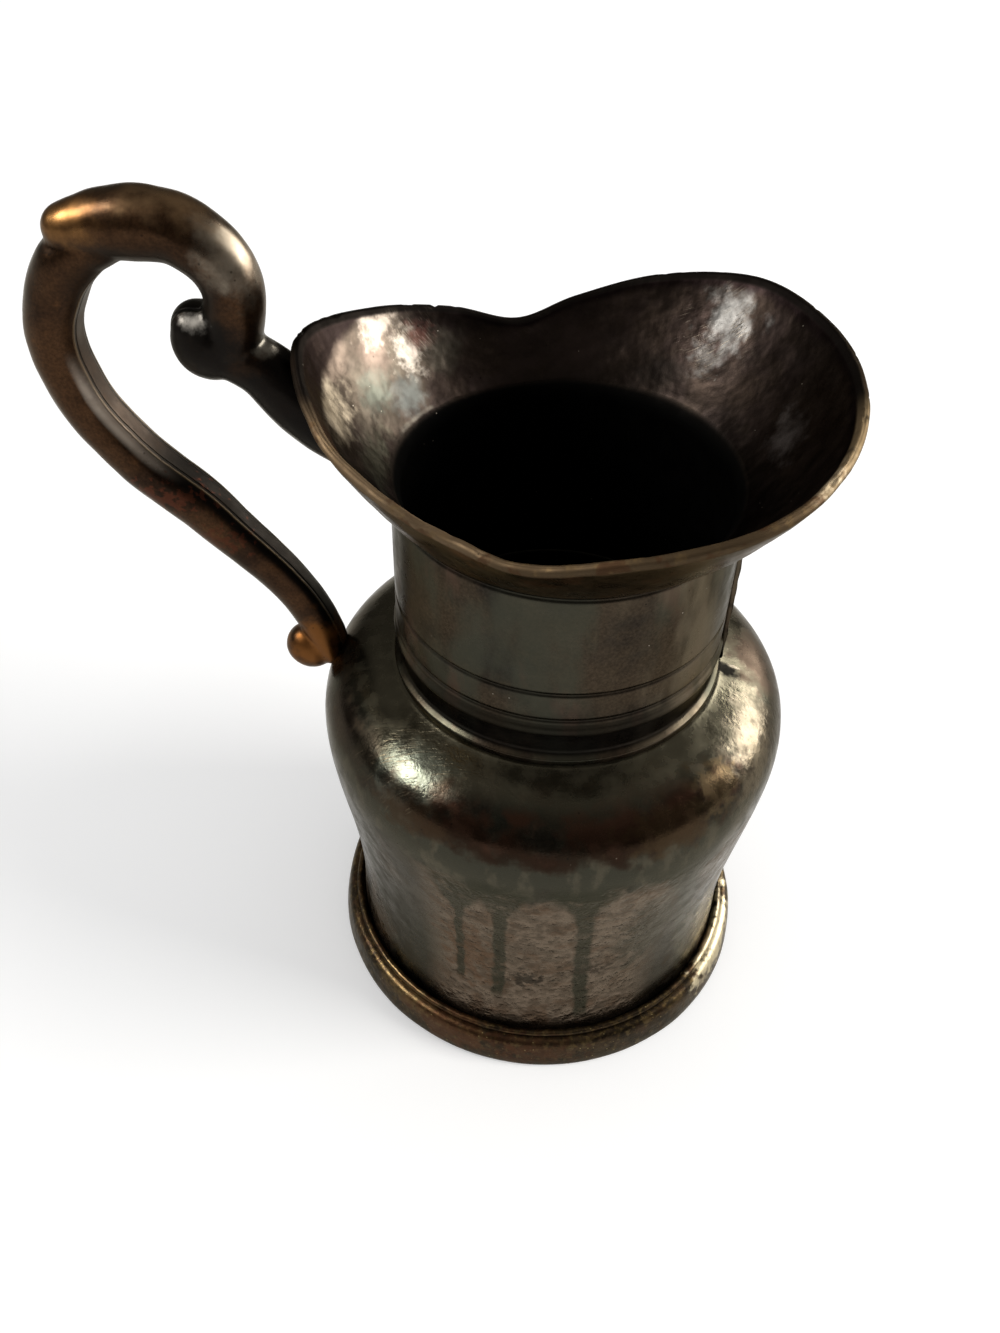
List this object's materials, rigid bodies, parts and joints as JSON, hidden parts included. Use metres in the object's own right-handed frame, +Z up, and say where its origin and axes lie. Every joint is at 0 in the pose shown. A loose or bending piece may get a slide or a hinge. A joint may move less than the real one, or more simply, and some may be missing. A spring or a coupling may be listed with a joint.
{
  "type": "pitcher",
  "caption": "Small brass pitcher with a spun body, a pinched lobed lip, a soldered neck and a scrolled cast handle, for pouring cream, milk or water at the table.",
  "frame": {"origin": "centre of the flat underside, on the body's axis, at the height of the table", "axes": "+Z up along the body's axis, +X towards the lip's far lobe and away from the handle, +Y across the pitcher"},
  "size_m": [0.0912, 0.0606, 0.1098],
  "materials": {
    "dark_brass": "old dark patina over hammered and spun brass, worn to a satin gloss on the shoulder",
    "worn_copper": "red-brown worn metal, bright along its edges",
    "neck_bronze": "grey-green and brown patina, turned lines, copper-brown on the lip's edge",
    "handle_brown": "olive-brown cast metal, golden where hands have worn it, pitted near its lower end"
  },
  "bodies": {
    "root": {"body_shell": "dark_brass", "base_plate": "dark_brass", "foot_ring": "worn_copper", "foot_wire": "worn_copper", "neck_and_lip": "neck_bronze", "handle": "handle_brown"}
  },
  "joints": []
}
